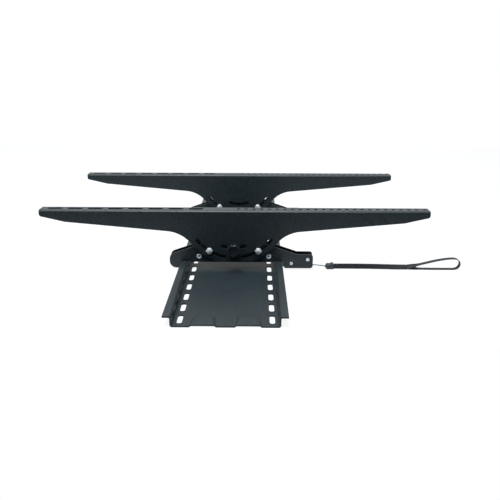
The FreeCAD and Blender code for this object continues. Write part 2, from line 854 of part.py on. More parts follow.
def spring_seat(side, y):
    """The block that the spring pushes against; the pull wire runs through it."""
    label = f"{side}_spring_seat"
    body = new_body(label)
    profile = new_sketch(body, f"{label}_profile", "XZ_Plane")
    bottom = s.hook_foot + s.rail_clearance
    outline(profile, [
        (seat_left, bottom, 0),
        (seat_left + s.seat_length, bottom, 1),
        (seat_left + s.seat_length, bottom + s.seat_height, 2),
        (seat_left, bottom + s.seat_height, 1),
    ])
    pad(body, profile, inner_width)
    across = new_sketch(body, f"{label}_pin_hole", "XZ_Plane")
    hole(across, seat_pin_x, s.seat_pin_height, s.seat_pin_diameter)
    cut(body, across)
    through = new_sketch(body, f"{label}_wire_hole", "YZ_Plane")
    hole(through, 0, s.pull_height, s.pull_wire + 2 * s.wire_clearance)
    cut(body, through)
    place(body, y=y)
    return body


def latch_spring(side, y):
    """A compression coil between the latch and its seat, around the pull wire."""
    label = f"{side}_latch_spring"
    wire = s.spring_wire.value
    room = seat_left.value - latch_back.value
    turns = s.spring_turns.value
    radius = (s.spring_diameter.value - wire) / 2
    rise = room - wire
    path = Part.makeHelix(rise / turns, rise, radius)
    section = Part.Wire(Part.Circle(V(radius, 0, 0), V(0, 1, 0), wire / 2).toShape())
    coil = Part.Wire(path.Edges).makePipeShell([section], True, True)
    item = doc.addObject("Part::Feature", label)
    item.Label = label
    item.Shape = coil
    item.Placement.Rotation = FreeCAD.Rotation(V(0, 1, 0), 90)
    place(item, latch_back + s.spring_wire / 2, y, s.pull_height)
    return item


# Pull wire, clamp and strap

def rounded_path(points):
    """Straight runs joined by tangent arcs as large as the runs allow, with the radii that it used."""
    points = [V(x, 0, z) for x, z in points]
    edges, radii = [], []
    start = points[0]
    for before, corner, after in zip(points, points[1:], points[2:]):
        back, ahead = before - corner, after - corner
        trim = 0.45 * min(back.Length, ahead.Length)
        half_turn = (math.pi - back.getAngle(ahead)) / 2
        radius = trim / math.tan(half_turn)
        enter = corner + back.normalize() * trim
        leave = corner + ahead.normalize() * trim
        bulge = (back + ahead).normalize() * (radius / math.cos(half_turn) - radius)
        edges.append(Part.LineSegment(start, enter).toShape())
        edges.append(Part.Arc(enter, corner + bulge, leave).toShape())
        radii.append(round(radius, 1))
        start = leave
    edges.append(Part.LineSegment(start, points[-1]).toShape())
    return Part.Wire(edges), radii


def pull_wire(side, y):
    label = f"{side}_pull_wire"
    path, radii = rounded_path(WIRE_ROUTE)
    start = path.Edges[0].Vertexes[0].Point
    section = Part.Wire(Part.Circle(start, V(1, 0, 0), s.pull_wire.value / 2).toShape())
    solid = path.makePipeShell([section], True, True)
    expected = math.pi * s.pull_wire.value ** 2 / 4 * path.Length
    print(label, "radii", radii, "volume", round(solid.Volume, 1), "of", round(expected, 1))
    item = doc.addObject("Part::Feature", label)
    item.Label = label
    item.Shape = solid
    place(item, y=y)
    return item


def strap_clamp(side, y):
    """The moulded clip between wire and strap, narrowed towards the wire."""
    label = f"{side}_strap_clamp"
    body = new_body(label)
    left, wire_z = WIRE_ROUTE[-1]
    right = left + s.clamp_length
    profile = new_sketch(body, f"{label}_profile", "XZ_Plane")
    outline(profile, [
        (left + s.clamp_round, 0, 0),
        (right, 0, 0),
        (right, s.clamp_height, 0),
        (left + s.clamp_round, s.clamp_height, 0),
        (left, wire_z + s.clamp_round, 0),
        (left, wire_z - s.clamp_round, 0),
    ])
    pad(body, profile, s.clamp_width)
    round_edges(body, lambda e: runs_along(e, V(1, 0, 0)), s.clamp_round)
    bump = new_sketch(body, f"{label}_bump", "XY_Plane", s.clamp_height)
    hole(bump, right - s.clamp_bump, 0, s.clamp_bump)
    pad(body, bump, s.clamp_bump / 2, "One side")
    mouth = new_sketch(body, f"{label}_mouth", "YZ_Plane", right)
    half_sheet = s.strap_sheet
    low = STRAP_ROUTE[0][1] - s.strap_width / 2
    outline(mouth, [
        (-half_sheet, low, 0),
        (half_sheet, low, 0),
        (half_sheet, low + s.strap_width, 0),
        (-half_sheet, low + s.strap_width, 0),
    ])
    cut(body, mouth, right - STRAP_ROUTE[0][0], "One side")
    place(body, y=y)
    return body


def strap_section(x, z, roll):
    """The doubled strap's section at x, z; roll 0 is on edge, 90 lies flat."""
    wide, thick = s.strap_width.value / 2, s.strap_sheet.value
    ring = [V(0, -thick, -wide), V(0, thick, -wide), V(0, thick, wide), V(0, -thick, wide)]
    turn = FreeCAD.Rotation(V(1, 0, 0), roll)
    points = [turn.multVec(p) + V(x, 0, z) for p in ring]
    return Part.makePolygon(points + points[:1])


def strap(side, y):
    """Doubled webbing that leaves the clamp on edge, lies down along its length and ends in a loop."""
    label = f"{side}_strap"
    quarter = 90 / (len(STRAP_ROUTE) - 1)
    sections = [strap_section(x, z, quarter * i) for i, (x, z) in enumerate(STRAP_ROUTE)]
    doubled = Part.makeLoft(sections, True, True)
    path, radii = rounded_path(LOOP_ROUTE)
    thick, wide = s.strap_sheet.value, s.strap_width.value
    start = path.Edges[0].Vertexes[0].Point
    corners = [V(0, -wide / 2, -thick / 2), V(0, wide / 2, -thick / 2), V(0, wide / 2, thick / 2)]
    corners.append(V(0, -wide / 2, thick / 2))
    ring = [start + c for c in corners]
    loop = path.makePipeShell([Part.makePolygon(ring + ring[:1])], True, True)
    print(label, "loop radii", radii, "volume", round(loop.Volume, 1), "of", round(thick * wide * path.Length, 1))
    item = doc.addObject("Part::Feature", label)
    item.Label = label
    item.Shape = doubled.fuse(loop)
    place(item, y=y)
    return item


def side_assembly(side, outward):
    """One arm with its bracket, lock and knob; outward is -1 for the arm at -Y."""
    y = s.arm_spacing / 2 * outward
    plate_y = (bracket_width - s.hook_sheet) / 2
    pieces = [
        arm(f"{side}_arm", y),
        hook_plate(f"{side}_hook_plate_outer", y + plate_y * outward),
        hook_plate(f"{side}_hook_plate_inner", y - plate_y * outward),
        spacer_rivets(side, y),
        bolt_sleeves(side, y),
        tilt_bolts(side, y, outward),
        tilt_nuts(side, y, outward),
        friction_washers(side, y, outward),
        knob_bolt(side, y, outward),
        tilt_knob(side, y, outward),
        latch(side, y),
        pin(f"{side}_guide_pin", y, s.guide_pin_diameter, guide_pin_x, s.guide_pin_height),
        pin(f"{side}_seat_pin", y, s.seat_pin_diameter, seat_pin_x, s.seat_pin_height),
        spring_seat(side, y),
        latch_spring(side, y),
    ]
    return pieces


def pull_cord(side, outward):
    y = s.arm_spacing / 2 * outward
    return [pull_wire(side, y), strap_clamp(side, y), strap(side, y)]


nodes = [wall_plate()]
nodes += side_assembly("left", -1)
nodes += pull_cord("left", -1)
nodes += side_assembly("right", 1)
doc.recompute()

for item in doc.Objects:
    if "Invalid" in item.State or "Error" in item.State:
        raise RuntimeError(f"{item.Name}: {item.State}")
for node in nodes:
    if node.Shape.isNull() or not node.Shape.isValid():
        raise RuntimeError(f"{node.Label} has no valid shape")

os.makedirs("parts", exist_ok=True)
for node in nodes:
    node.Shape.exportStep(f"parts/{node.Label}.step")
    box = node.Shape.BoundBox
    print(
        f"{node.Label:26s} solids {len(node.Shape.Solids)} volume {node.Shape.Volume:10.1f}",
        f"x {box.XMin:.1f} {box.XMax:.1f} y {box.YMin:.1f} {box.YMax:.1f} z {box.ZMin:.1f} {box.ZMax:.1f}",
    )
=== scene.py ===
import json
import logging
import math
from collections.abc import Callable, Iterable, Mapping, Sequence
from dataclasses import dataclass
from enum import Enum

import bmesh
import bpy
from mathutils import Matrix, Vector


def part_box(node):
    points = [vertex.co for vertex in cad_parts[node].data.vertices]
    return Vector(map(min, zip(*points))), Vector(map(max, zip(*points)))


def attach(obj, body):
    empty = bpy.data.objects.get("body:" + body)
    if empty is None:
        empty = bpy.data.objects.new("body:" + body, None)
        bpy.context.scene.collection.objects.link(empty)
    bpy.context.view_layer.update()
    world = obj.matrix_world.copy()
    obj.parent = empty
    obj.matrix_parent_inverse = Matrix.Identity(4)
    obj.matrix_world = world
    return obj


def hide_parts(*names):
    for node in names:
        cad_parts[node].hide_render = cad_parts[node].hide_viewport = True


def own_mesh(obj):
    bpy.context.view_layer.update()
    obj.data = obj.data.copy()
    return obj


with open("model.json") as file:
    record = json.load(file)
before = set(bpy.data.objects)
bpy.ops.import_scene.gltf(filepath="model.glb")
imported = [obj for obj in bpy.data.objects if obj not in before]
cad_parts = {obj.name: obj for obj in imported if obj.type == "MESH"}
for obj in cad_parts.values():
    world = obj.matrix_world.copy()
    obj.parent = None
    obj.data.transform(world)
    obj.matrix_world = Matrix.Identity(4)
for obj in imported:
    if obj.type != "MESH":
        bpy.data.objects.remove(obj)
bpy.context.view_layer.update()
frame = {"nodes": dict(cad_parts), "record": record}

# Tilting wall mount for a television, lying on its back on a pale table.
# Metres, in the CAD's frame: X along the arms, Y along the wall plate, Z up from the wall.

MM = 0.001
# Hexagon corners are turned off at 30 degrees and keep this share of their radius
CHAMFER = math.tan(math.radians(30))
CORNER_KEEP = 0.985
# CAD facets within the first angle are one flat face; edges past the second are broken
FLAT_DEGREES = 0.4
EDGE_DEGREES = 25
LOG = logging.getLogger("tv_mount")

Item = bpy.types.Object
Tree = bpy.types.NodeTree
Node = bpy.types.Node
Source = Node | bpy.types.NodeSocket
Patterns = tuple[Source, Source, Source | None]
Pair = tuple[float, float]
Triple = tuple[float, float, float]
Colour = tuple[float, float, float, float]
Ring = list[Vector]
Route = Sequence[Pair]
Outline = Callable[[float], float]
Measure = float | Outline


class Side(Enum):
    """The two arms, named as the CAD names them."""

    LEFT = "left"
    RIGHT = "right"

    @property
    def outward(self) -> int:
        """The sign of Y that points away from the plate's middle."""
        return -1 if self is Side.LEFT else 1

    def node(self, name: str) -> str:
        """The CAD name of this arm's own piece."""
        return f"{self.value}_{name}"


class Ends(Enum):
    """How a skinned surface is closed."""

    CAPPED = "capped"
    LOOPED = "looped"


@dataclass
class Surface:
    """Rings of points, skinned one to the next."""

    rings: list[Ring]
    ends: Ends = Ends.CAPPED


def linear(hex_text: str) -> Colour:
    """Turns an sRGB hex colour to linear light.

    Args:
        hex_text: The colour as #rrggbb.

    Returns:
        Red, green, blue and full alpha.
    """
    channels = [int(hex_text[i : i + 2], 16) / 255 for i in (1, 3, 5)]
    light = [c / 12.92 if c <= 0.04045 else ((c + 0.055) / 1.055) ** 2.4 for c in channels]
    return (*light, 1.0)


def per_metre(size_mm: float) -> float:
    """The texture scale at which one cell of a pattern is size_mm across."""
    return 1 / (size_mm * MM)


def add_node(
    tree: Tree,
    kind: str,
    settings: Mapping[str, object] | None = None,
    links: Mapping[str, Source] | None = None,
) -> Node:
    """Adds a node with its settings and links.

    Args:
        tree: The node tree that gets it.
        kind: The shader node's type name, without its prefix.
        settings: Values by the node's own property, or by input name or identifier.
        links: Sources by input name or identifier; a node gives its first output in use.

    Returns:
        The new node.
    """
    node = tree.nodes.new(f"ShaderNode{kind}")
    settings = dict(settings or {})
    for name in [n for n in settings if n in node.bl_rna.properties]:
        setattr(node, name, settings.pop(name))
    sockets = {socket.name: socket for socket in reversed(node.inputs)}
    sockets.update({socket.identifier: socket for socket in node.inputs})
    for name, value in settings.items():
        sockets[name].default_value = value
    for name, source in (links or {}).items():
        if isinstance(source, Node):
            source = next(socket for socket in source.outputs if socket.enabled)
        tree.links.new(source, sockets[name])
    return node


def sight(tree: Tree, mirrored: Node | None = None) -> Node:
    """Tells the rays that see the white surroundings from those that only carry light.

    Args:
        tree: The node tree that it goes into.
        mirrored: How much of the white a reflection shows, or all of it when left out.

    Returns:
        A node that is 1 where the camera, a reflection or a see-through part looks.
    """
    rays = add_node(tree, "LightPath")
    glossy = rays.outputs["Is Glossy Ray"]
    if mirrored:
        glossy = add_node(tree, "Math", {"operation": "MULTIPLY"}, {"Value": glossy, "Value_001": mirrored})
    seen = rays.outputs["Is Camera Ray"]
    for other in (rays.outputs["Is Transmission Ray"], glossy):
        seen = add_node(tree, "Math", {"operation": "MAXIMUM"}, {"Value": seen, "Value_001": other})
    return seen


@dataclass(frozen=True)
class Finish:
    """A surface finish that is made into one material."""

    name: str

    def material(self) -> bpy.types.Material:
        """The finish as a material, made once.

        Returns:
            The material of that name.
        """
        made = bpy.data.materials.get(self.name)
        if made:
            return made
        made = bpy.data.materials.new(self.name)
        made.use_nodes = True
        made.node_tree.nodes.clear()
        shader = self.paint(made.node_tree)
        add_node(made.node_tree, "OutputMaterial", links={"Surface": shader})
        return made

    def paint(self, tree: Tree) -> Node:
        """Builds the finish's patterns and returns the shader that shows them."""
        raise NotImplementedError


@dataclass(frozen=True)
class Mottled(Finish):
    """A finish in soft clouds of two tones, over a fine grain in relief where it has one."""

    body: str
    tone: str
    roughness: float
    dulling: Pair
    cloud_mm: float
    cloud_detail: float = 2
    cloud_span: Pair = (0.3, 0.7)
    grain_kind: str = "TexNoise"
    grain_mm: float = 0
    grain_relief: float = 0
    grain_depth: float = 0.05 * MM

    def sheen(self) -> dict[str, float]:
        """The shader's own settings, here those of bare metal."""
        return {"Metallic": 1.0}

    def patterns(self, tree: Tree, place: Source) -> Patterns:
        """The patterns for colour, roughness and relief: clouds, and a grain if there is one.

        Args:
            tree: The material's node tree.
            place: The coordinates that they follow.

        Returns:
            The three patterns in that order.
        """
        scale = {"Scale": per_metre(self.cloud_mm), "Detail": self.cloud_detail}
        clouds = add_node(tree, "TexNoise", scale, {"Vector": place})
        grain = None
        if self.grain_mm:
            grain = add_node(tree, self.grain_kind, {"Scale": per_metre(self.grain_mm)}, {"Vector": place})
        return clouds, clouds, grain

    def paint(self, tree: Tree) -> Node:
        """Two tones with a roughness of their own, over the relief."""
        place = add_node(tree, "TexCoord").outputs["Object"]
        tones, clouds, grain = self.patterns(tree, place)
        colours = {"data_type": "RGBA", "A_Color": linear(self.body), "B_Color": linear(self.tone)}
        colour = add_node(tree, "Mix", colours, {"Factor_Float": tones})
        ends = (*self.cloud_span, *(self.roughness + step for step in self.dulling))
        limits = dict(zip(("From Min", "From Max", "To Min", "To Max"), ends))
        rough = add_node(tree, "MapRange", limits, {"Value": clouds})
        links = {"Base Color": colour, "Roughness": rough}
        if grain is not None:
            relief = {"Strength": self.grain_relief, "Distance": self.grain_depth}
            links["Normal"] = add_node(tree, "Bump", relief, {"Height": grain})
        return add_node(tree, "BsdfPrincipled", self.sheen(), links)


@dataclass(frozen=True)
class PowderCoat(Mottled):
    """Polyester powder coat, sprayed and baked on sheet steel.

    Satin black with a fine speckle and the soft ripple of melted powder.
    """

    body: str = "#151d20"
    tone: str = "#273236"
    roughness: float = 0.42
    dulling: Pair = (-0.04, 0.05)
    cloud_mm: float = 70
    grain_mm: float = 1.8
    grain_relief: float = 0.26
    grain_depth: float = 0.1 * MM
    shine: float = 0.37
    fleck_mm: float = 2.0
    fleck_span: Pair = (0.35, 0.7)

    def sheen(self) -> dict[str, float]:
        """A somewhat dull lacquer."""
        return {"Specular IOR Level": self.shine}

    def patterns(self, tree: Tree, place: Source) -> Patterns:
        """Clouds and ripple as in other finishes, and a speckle for the colour."""
        _, clouds, ripple = super().patterns(tree, place)
        # The speckle is drawn about six times as coarse as the powder's grains, so that it shows
        scale = {"Scale": per_metre(self.fleck_mm), "Detail": 3}
        fleck = add_node(tree, "TexNoise", scale, {"Vector": place})
        span = dict(zip(("From Min", "From Max"), self.fleck_span))
        return add_node(tree, "MapRange", span, {"Value": fleck}), clouds, ripple


@dataclass(frozen=True)
class ZincPlate(Mottled):
    """Bright zinc plate with a clear passivate, barrel plated on small steel parts.

    Silver with fine tumbling marks, under a milky film that scatters some light.
    """

    body: str = "#f4f7f9"
    tone: str = "#d3dce2"
    roughness: float = 0.3
    dulling: Pair = (-0.05, 0.1)
    cloud_mm: float = 1.4
    cloud_detail: float = 3
    grain_mm: float = 0.5
    grain_relief: float = 0.12
    film: float = 0.55

    def sheen(self) -> dict[str, float]:
        """Metal as far as the film lets it show."""
        return {"Metallic": 1 - self.film}


@dataclass(frozen=True)
class MouldedNylon(Mottled):
    """Glass-filled nylon, injection moulded in a spark-eroded tool.

    Near black with a fine leathery grain that keeps a soft gloss.
    """

    body: str = "#10141d"
    tone: str = "#181c28"
    roughness: float = 0.34
    dulling: Pair = (-0.05, 0.08)
    cloud_mm: float = 3.0
    cloud_detail: float = 4
    grain_kind: str = "TexVoronoi"
    grain_mm: float = 0.5
    grain_relief: float = 0.1
    grain_depth: float = 0.06 * MM
    ior: float = 1.53

    def sheen(self) -> dict[str, float]:
        """Clear resin at the surface."""
        return {"IOR": self.ior}


@dataclass(frozen=True)
class AcetalWasher(Mottled):
    """Acetal, stamped from skived sheet.

    Waxy black with the faint lines of the skiving knife.
    """

    body: str = "#1a1a1c"
    tone: str = "#2c2c2f"
    roughness: float = 0.45
    dulling: Pair = (-0.05, 0.1)
    cloud_mm: float = 0.6
    cloud_span: Pair = (0.0, 1.0)
    grain_relief: float = 0.15
    waver: float = 2.0
    ior: float = 1.48

    def sheen(self) -> dict[str, float]:
        """Clear resin at the surface."""
        return {"IOR": self.ior}

    def patterns(self, tree: Tree, place: Source) -> Patterns:
        """The knife's lines, in colour, roughness and relief."""
        # A wave's bands lie a twentieth of its scale apart
        scale = {"bands_direction": "Z", "Scale": per_metre(20 * self.cloud_mm), "Distortion": self.waver}
        lines = add_node(tree, "TexWave", scale, {"Vector": place}).outputs["Fac"]
        return lines, lines, lines


@dataclass(frozen=True)
class DieCastZinc(Mottled):
    """Zinc alloy, pressure die cast and trimmed, with a dark chromate dip.

    Dull grey metal with the flow clouds of the casting skin.
    """

    body: str = "#4d5156"
    tone: str = "#7b8086"
    roughness: float = 0.42
    dulling: Pair = (-0.06, 0.1)
    cloud_mm: float = 5
    cloud_detail: float = 5
    grain_mm: float = 0.8
    grain_relief: float = 0.2


@dataclass(frozen=True)
class DrawnSteel(Mottled):
    """Hard drawn steel wire, bare and oiled or galvanised.

    Grey metal, mottled dark and bright by the drawing die.
    """

    body: str = "#8f9498"
    tone: str = "#5d6165"
    roughness: float = 0.3
    dulling: Pair = (-0.06, 0.12)
    cloud_mm: float = 0.7
    cloud_detail: float = 3


@dataclass(frozen=True)
class NylonWebbing(Finish):
    """Nylon webbing, woven narrow on a needle loom and dyed black."""

    yarn: str = "#10141a"
    # The gap colour is painted shade: the recesses between the yarn rows are drawn darker than the yarn
    gap_shade: str = "#090b0e"
    worn: str = "#151a20"
    roughness: float = 0.62
    yarn_mm: float = 0.8
    float_mm: float = 2.0

    def paint(self, tree: Tree) -> Node:
        """Rows of short raised yarns with painted shade in the gaps between them, and a soft sheen."""
        flat = add_node(tree, "UVMap", {"uv_map": "weave"})
        # The yarns are drawn about twice as coarse as they are woven, so that they show
        yarns = add_node(
            tree,
            "TexBrick",
            {
                "Color1": linear(self.yarn),
                "Color2": linear(self.worn),
                # The mortar carries the painted shade between the yarn rows
                "Mortar": linear(self.gap_shade),
                "Scale": 1 / MM,
                "Brick Width": self.float_mm,
                "Row Height": self.yarn_mm,
                "Mortar Size": 0.09 * self.yarn_mm,
                "Mortar Smooth": 0.8,
            },
            {"Vector": flat},
        )
        relief = {"Strength": 0.25, "Distance": 0.15 * MM, "invert": True}
        bump = add_node(tree, "Bump", relief, {"Height": yarns.outputs["Fac"]})
        return add_node(
            tree,
            "BsdfPrincipled",
            {"Roughness": self.roughness, "Sheen Weight": 0.06, "Sheen Roughness": 0.4},
            {"Base Color": yarns.outputs["Color"], "Normal": bump},
        )


@dataclass(frozen=True)
class TableTop(Finish):
    """White laminate table that shows as plain white and keeps a soft shadow."""

    sheet: str = "#b1bac5"
    roughness: float = 0.9
    shine: float = 0.1
    shade: float = 0.25
    glow: float = 1.2

    def paint(self, tree: Tree) -> Node:
        """Matt pale grey, lifted towards pure white wherever it is seen and not just lights."""
        matt = add_node(
            tree,
            "BsdfPrincipled",
            {"Base Color": linear(self.sheet), "Roughness": self.roughness, "Specular IOR Level": self.shine},
        )
        glow = add_node(tree, "Emission", {"Color": (1, 1, 1, 1), "Strength": self.glow})
        seen = sight(tree)
        part = {"operation": "MULTIPLY", "Value_001": 1 - self.shade}
        share = add_node(tree, "Math", part, {"Value": seen})
        return add_node(tree, "MixShader", links={"Fac": share, "Shader": matt, "Shader_001": glow})


POWDER_COAT = PowderCoat("powder_coat_satin_black")
ZINC_PLATE = ZincPlate("zinc_plate_clear_passivate")
RIVET_ZINC = ZincPlate("zinc_plate_rolled_rivet", roughness=0.4, film=0.85)
KNOB_NYLON = MouldedNylon("glass_filled_nylon_moulded")
CLAMP_NYLON = MouldedNylon("nylon_clip_moulded", body="#20272e", tone="#2e373f", roughness=0.4)
SEAT_NYLON = MouldedNylon("nylon_seat_moulded", body="#16171a", tone="#26282c", roughness=0.5)
WASHER = AcetalWasher("acetal_washer_stamped")
CAST_ZINC = DieCastZinc("zinc_alloy_die_cast")
SPRING_STEEL = DrawnSteel("spring_steel_drawn", body="#7d8185", tone="#4a4e52")
STRAND_STEEL = DrawnSteel("galvanised_strand_twisted", body="#6f6a62", tone="#3a3732", roughness=0.36)
WEBBING = NylonWebbing("nylon_webbing_woven")
TABLE = TableTop("white_laminate_table")


def put(name: str, data: bpy.types.ID) -> Item:
    """Adds an object to the scene."""
    item = bpy.data.objects.new(name, data)
    bpy.context.scene.collection.objects.link(item)
    return item


def skin(name: str, surfaces: Iterable[Surface], sharp_degrees: float = 32) -> Item:
    """Makes one object from skinned surfaces.

    Args:
        name: The object's name.
        surfaces: The surfaces, each with rings of one length.
        sharp_degrees: Edges that turn further than this stay crisp.

    Returns:
        The object, linked to the scene.
    """
    mesh = bpy.data.meshes.new(name)
    shell = bmesh.new()
    for surface in surfaces:
        rows = [[shell.verts.new(point) for point in ring] for ring in surface.rings]
        pairs = list(zip(rows, rows[1:]))
        if surface.ends is Ends.LOOPED:
            pairs.append((rows[-1], rows[0]))
        for lower, upper in pairs:
            for i in range(len(lower)):
                j = (i + 1) % len(lower)
                shell.faces.new((lower[i], lower[j], upper[j], upper[i]))
        if surface.ends is Ends.CAPPED:
            shell.faces.new(rows[0])
            shell.faces.new(rows[-1])
    bmesh.ops.recalc_face_normals(shell, faces=shell.faces)
    shell.to_mesh(mesh)
    shell.free()
    mesh.polygons.foreach_set("use_smooth", [True] * len(mesh.polygons))
    mesh.set_sharp_from_angle(angle=math.radians(sharp_degrees))
    return put(name, mesh)


def stand_in(piece: Item, finish: Finish, slot: str, *nodes: str) -> None:
    """Dresses a piece and lets it stand for CAD nodes, on their body.

    Args:
        piece: The detailed piece.
        finish: Its finish.
        slot: The record's material slot; not used.
        nodes: The CAD nodes that it replaces.
    """
    piece.data.materials.append(finish.material())
    bodies = frame["record"]["behaviour"]["bodies"]
    body = next(name for name, members in bodies.items() if nodes[0] in members)
    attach(piece, body)
    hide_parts(*nodes)
    count = len(piece.data.polygons)
    LOG.info("%s stands for %s on %s, %d faces", piece.name, ", ".join(nodes), body, count)


def dress_node(node: str, finish: Finish) -> None:
    """Gives a CAD node its finish."""
    item = frame["nodes"][node]
    item.data.materials.clear()
    item.data.materials.append(finish.material())
    LOG.info("%s keeps its CAD form in %s", node, finish.name)


def soften(
    node: str,
    finish: Finish,
    slot: str,
    edge: float = 0.65 * MM,
    press: Callable[[Vector], Vector] | None = None,
) -> None:
    """Lets a copy of a CAD piece, with its sharp edges just broken, stand for the piece.

    Args:
        node: The CAD node.
        finish: Its finish.
        slot: The record's material slot.
        edge: How wide the broken edges are.
        press: Where a point of the sheet goes, if its pressed forms are drawn softer than in CAD.
    """
    source = frame["nodes"][node]
    mesh = source.data.copy()
    mesh.name = f"{node}_detail"
    mesh.materials.clear()
    shell = bmesh.new()
    shell.from_mesh(mesh)
    bmesh.ops.remove_doubles(shell, verts=shell.verts, dist=0.001 * MM)
    bmesh.ops.dissolve_limit(
        shell,
        angle_limit=math.radians(FLAT_DEGREES),
        verts=shell.verts,
        edges=shell.edges,
        use_dissolve_boundaries=False,
    )
    if press:
        for corner in shell.verts:
            corner.co = press(corner.co)
    shell.to_mesh(mesh)
    shell.free()
    rough = put(f"{node}_rough", mesh)
    rough.matrix_world = source.matrix_world
    mesh.polygons.foreach_set("use_smooth", [True] * len(mesh.polygons))
    bevel = rough.modifiers.new("broken_edges", "BEVEL")
    bevel.limit_method = "ANGLE"
    bevel.angle_limit = math.radians(EDGE_DEGREES)
    bevel.width = edge
    bevel.segments = 2
    even = rough.modifiers.new("flat_faces", "WEIGHTED_NORMAL")
    even.mode = "FACE_AREA"
    bpy.context.view_layer.update()
    view = bpy.context.evaluated_depsgraph_get()
    broken = bpy.data.meshes.new_from_object(rough.evaluated_get(view), depsgraph=view)
    broken.name = f"{node}_detail"
    piece = put(f"{node}_detail", broken)
    piece.matrix_world = source.matrix_world
    bpy.data.objects.remove(rough)
    bpy.data.meshes.remove(mesh)
    stand_in(piece, finish, slot, node)


@dataclass(frozen=True)
class Spindle:
    """A line along Y that round pieces are turned about; distances along it grow outward."""

    x: float
    y: float
    z: float
    outward: int

    def ring(self, along: Measure, radius: Measure, count: int = 48) -> Ring:
        """One ring about the spindle.

        Args:
            along: The distance along the spindle, or a function of the angle that gives it.
            radius: The radius, or a function of the angle that gives it.
            count: How many points the ring has.

        Returns:
            The ring's points.
        """
        points = []
        for i in range(count):
            angle = 2 * math.pi * i / count
            r = radius(angle) if callable(radius) else radius
            a = along(angle) if callable(along) else along
            aside, above = r * math.sin(angle), r * math.cos(angle)
            points.append(Vector((self.x + aside, self.y + a * self.outward, self.z + above)))
        return points

    def turned(self, profile: Sequence[tuple[Measure, Measure]], count: int = 48) -> list[Ring]:
        """Rings for a profile of (along, radius) pairs."""
        return [self.ring(along, radius, count) for along, radius in profile]


def circle(centre: Vector, first: Vector, second: Vector, count: int) -> Ring:
    """A ring of points round a centre, through the ends of two radius vectors."""
    angles = (2 * math.pi * k / count for k in range(count))
    return [centre + math.cos(a) * first + math.sin(a) * second for a in angles]


def both_ends(half: Route) -> list[Pair]:
    """A profile of (along, radius) pairs, given from its far end to its middle, with both ends alike."""
    return [*half, *((-along, radius) for along, radius in reversed(half))]


def hex_radius(flats: float) -> Outline:
    """The outline of a hexagon with its corners just broken.

    Args:
        flats: The width across flats.

    Returns:
        The radius as a function of the angle.
    """
    corner = flats / 2 / math.cos(math.pi / 6)

    def radius(angle: float) -> float:
        """The radius at one angle."""
        from_flat = (angle + math.pi / 6) % (math.pi / 3) - math.pi / 6
        return min(flats / 2 / math.cos(from_flat), CORNER_KEEP * corner)

    return radius


@dataclass
class Studio:
    """White table, soft light and the photograph's camera."""

    table: float = 2.4
    front: float = -0.43
    drop: float = 0.05 * MM
    camera_place: Triple = (0.0340, -1.1060, 0.34815)
    pitch: float = 18.274
    yaw: float = 0.437
    roll: float = 0.171
    focal_pixels: float = 599.03
    image_pixels: float = 500.0
    sky: float = 0.6
    sky_tint: str = "#fff7ee"
    dim_share: float = 0.06
    backdrop_way: Triple = (0, 0.94, 0.34)
    backdrop_span: Pair = (0.3, 0.8)
    key: float = 73.0
    key_place: Triple = (-0.2, -0.6, 1.95)
    key_aim: Triple = (0, 0, 0.05)
    key_size: float = 1.1
    key_tint: str = "#f6faff"

    def build(self) -> None:
        """Makes the stage."""
        bpy.context.scene.view_settings.view_transform = "Standard"
        self.place_camera()
        self.lay_table()
        self.light_room()
        self.hang_lamp()

    def place_camera(self) -> None:
        """Puts the camera where the photograph was taken from."""
        lens = bpy.data.cameras.new("camera")
        lens.sensor_width = 36.0
        lens.lens = self.focal_pixels * lens.sensor_width / self.image_pixels
        pitch, yaw, roll = (math.radians(a) for a in (self.pitch, self.yaw, self.roll))
        ahead = Vector(
            (-math.sin(yaw) * math.cos(pitch), math.cos(yaw) * math.cos(pitch), -math.sin(pitch))
        )
        level = ahead.cross(Vector((0, 0, 1))).normalized()
        above = level.cross(ahead)
        right = math.cos(roll) * level + math.sin(roll) * above
        up = math.cos(roll) * above - math.sin(roll) * level
        turn = Matrix((right, up, -ahead)).transposed().to_4x4()
        camera = put("camera", lens)
        camera.matrix_world = Matrix.Translation(self.camera_place) @ turn
        bpy.context.scene.camera = camera

    def lay_table(self) -> None:
        """Lays the table top just under the mount, with its front edge just before the wall plate."""
        half, drop = self.table / 2, -self.drop
        outline = ((-half, self.front), (half, self.front), (half, half), (-half, half))
        corners = [Vector((x, y, drop)) for x, y in outline]
        mesh = bpy.data.meshes.new("table")
        mesh.from_pydata(corners, [], [(0, 1, 2, 3)])
        table = put("table", mesh)
        mesh.materials.append(TABLE.material())

    def light_room(self) -> None:
        """Fills the room with light from the white backdrop, dimmer from the camera's side."""
        world = bpy.data.worlds.new("studio")
        world.use_nodes = True
        tree = world.node_tree
        tree.nodes.clear()
        way = add_node(tree, "TexCoord").outputs["Generated"]
        facing = {"operation": "DOT_PRODUCT", "Vector_001": self.backdrop_way}
        behind = add_node(tree, "VectorMath", facing, {"Vector": way}).outputs["Value"]
        first, last = self.backdrop_span
        backdrop = add_node(tree, "MapRange", {"From Min": first, "From Max": last}, {"Value": behind})
        strengths = {"To Min": self.dim_share * self.sky, "To Max": self.sky}
        lift = add_node(tree, "MapRange", strengths, {"Value": backdrop})
        seen = sight(tree, backdrop)
        fill = add_node(tree, "Background", {"Color": linear(self.sky_tint)}, {"Strength": lift})
        white = add_node(tree, "Background", {"Color": (1, 1, 1, 1), "Strength": 1.0})
        mix = add_node(tree, "MixShader", links={"Fac": seen, "Shader": fill, "Shader_001": white})
        add_node(tree, "OutputWorld", links={"Surface": mix})
        bpy.context.scene.world = world

    def hang_lamp(self) -> None:
        """Hangs a broad soft lamp over the front of the table."""
        lamp = bpy.data.lights.new("overhead", "AREA")
        lamp.color = linear(self.key_tint)[:3]
        lamp.size = self.key_size
        lamp.energy = self.key
        item = put("overhead", lamp)
        item.location = self.key_place
        aim = Vector(self.key_aim) - Vector(self.key_place)
        item.rotation_euler = aim.to_track_quat("-Z", "Y").to_euler()


